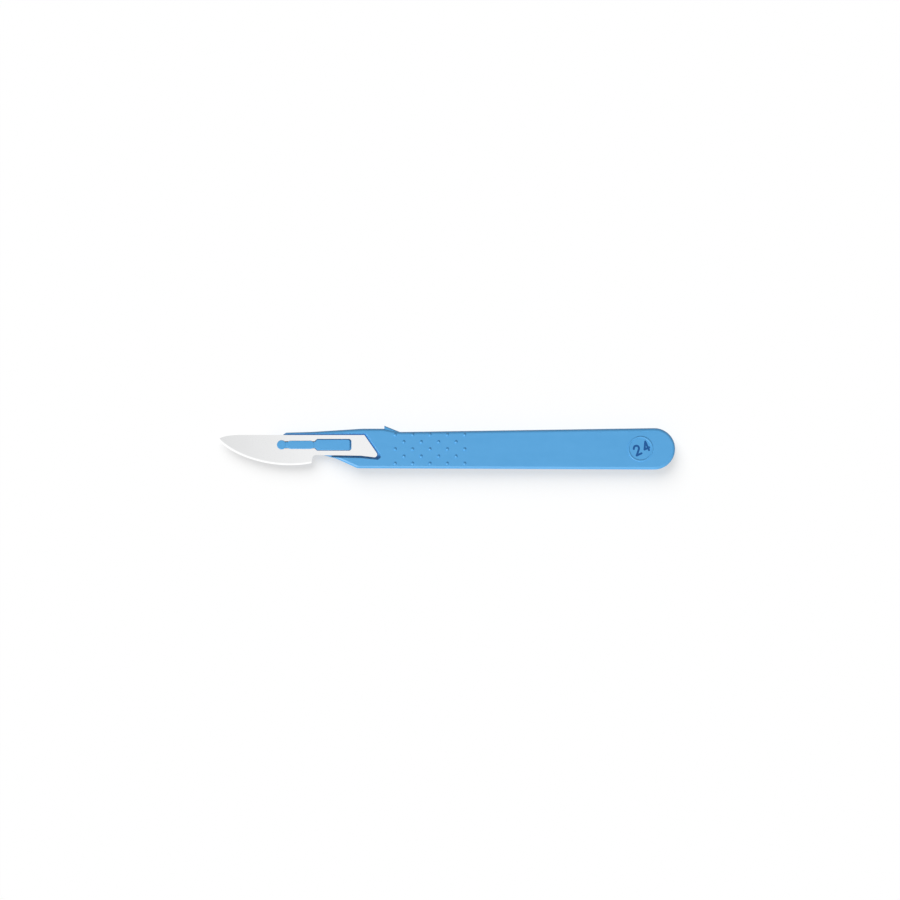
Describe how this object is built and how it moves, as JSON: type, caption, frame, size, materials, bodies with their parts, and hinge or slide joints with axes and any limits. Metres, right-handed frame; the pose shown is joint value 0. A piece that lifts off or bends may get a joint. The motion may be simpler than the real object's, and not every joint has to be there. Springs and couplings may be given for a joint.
{
  "type": "disposable scalpel",
  "caption": "Disposable scalpel with a flat moulded plastic handle, a pipped grip, a thumb stop and a curved steel blade locked on a boss at the nose.",
  "frame": {"origin": "on the handle's flat back face, on its long axis and about midway along its body", "axes": "+X along the handle to the tail, so the blade points to -X; +Y to the side of the blade's spine; +Z out of the front face"},
  "size_m": [0.1582, 0.0152, 0.0054],
  "materials": {
    "blue_plastic": "light blue moulded polystyrene with a satin face",
    "blade_steel": "bright satin steel with a finely ground cutting edge"
  },
  "bodies": {
    "root": {"handle": "blue_plastic", "blade": "blade_steel"}
  },
  "joints": []
}
